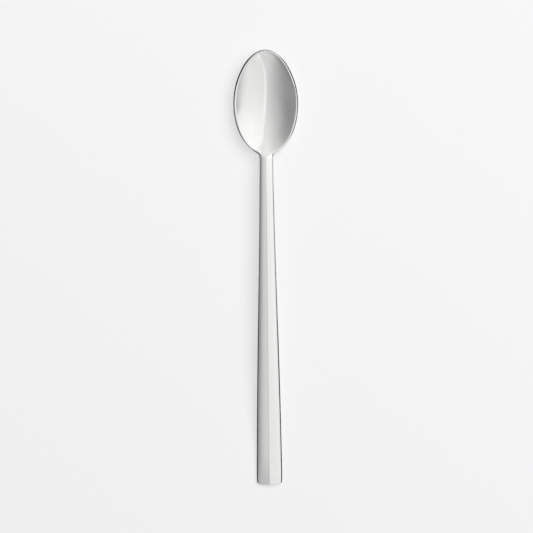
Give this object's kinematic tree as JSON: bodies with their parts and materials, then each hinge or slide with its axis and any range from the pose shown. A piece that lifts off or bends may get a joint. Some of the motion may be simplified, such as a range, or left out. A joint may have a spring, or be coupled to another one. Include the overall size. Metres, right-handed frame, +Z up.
{
  "type": "iced tea spoon",
  "caption": "Long polished steel spoon with a small egg-shaped bowl and a slim ridged handle that widens to a blunt end, for stirring and sipping from a tall glass.",
  "frame": {"origin": "centre of the spoon's bounding box in plan, on the table that it lies on", "axes": "+Z up out of the bowl, +Y along the spoon towards the bowl's tip, +X to the right of the bowl when looking down at it with the tip ahead"},
  "size_m": [0.0298, 0.2, 0.0088],
  "materials": {
    "polished_steel": "polished"
  },
  "bodies": {
    "root": {"bowl": "polished_steel", "handle": "polished_steel"}
  },
  "joints": []
}
